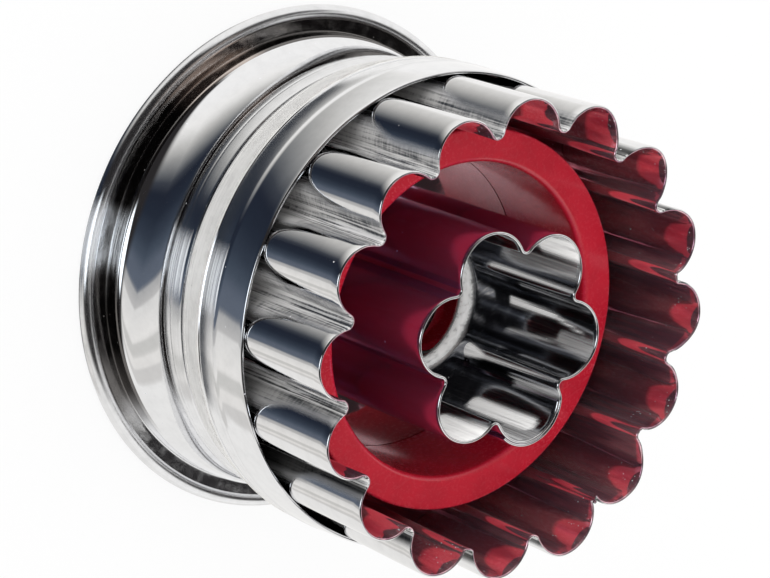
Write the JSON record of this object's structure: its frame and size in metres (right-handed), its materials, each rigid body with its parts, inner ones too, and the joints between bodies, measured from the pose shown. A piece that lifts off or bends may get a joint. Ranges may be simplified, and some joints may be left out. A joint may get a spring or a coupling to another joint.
{
  "type": "linzer cookie cutter",
  "caption": "Steel cookie cutter with a fluted outer edge, a flower-shaped inner edge and a sprung red plastic ejector worked by a thumb button.",
  "frame": {"origin": "centre of the circle that the rolled rim stands on", "axes": "+Z along the cutter's axis, from the rolled rim towards the cutting edges; +X through the tip of one flute"},
  "size_m": [0.0533, 0.0534, 0.0366],
  "materials": {
    "polished_steel": "mirror-polished stainless steel",
    "cutter_steel": "bright rolled stainless strip",
    "sheet_steel": "bright stainless sheet",
    "red_plastic": "glossy moulded red plastic",
    "spring_wire": "bright spring wire"
  },
  "bodies": {
    "housing": {"handle_shell": "polished_steel", "front_collar": "polished_steel", "web_plate": "sheet_steel", "fluted_cutter": "cutter_steel", "flower_cutter": "cutter_steel", "flower_base": "sheet_steel", "return_spring": "spring_wire"},
    "ejector": {"ejector_ring": "red_plastic", "push_button": "red_plastic"}
  },
  "joints": [
    {"name": "ejector_press", "type": "slide", "parent": "housing", "child": "ejector", "axis": [0, 0, 1], "range_m": [0, 0.0082], "stiffness_N_per_m": 500, "springref_m": -0.006, "deforming": ["return_spring"]}
  ]
}
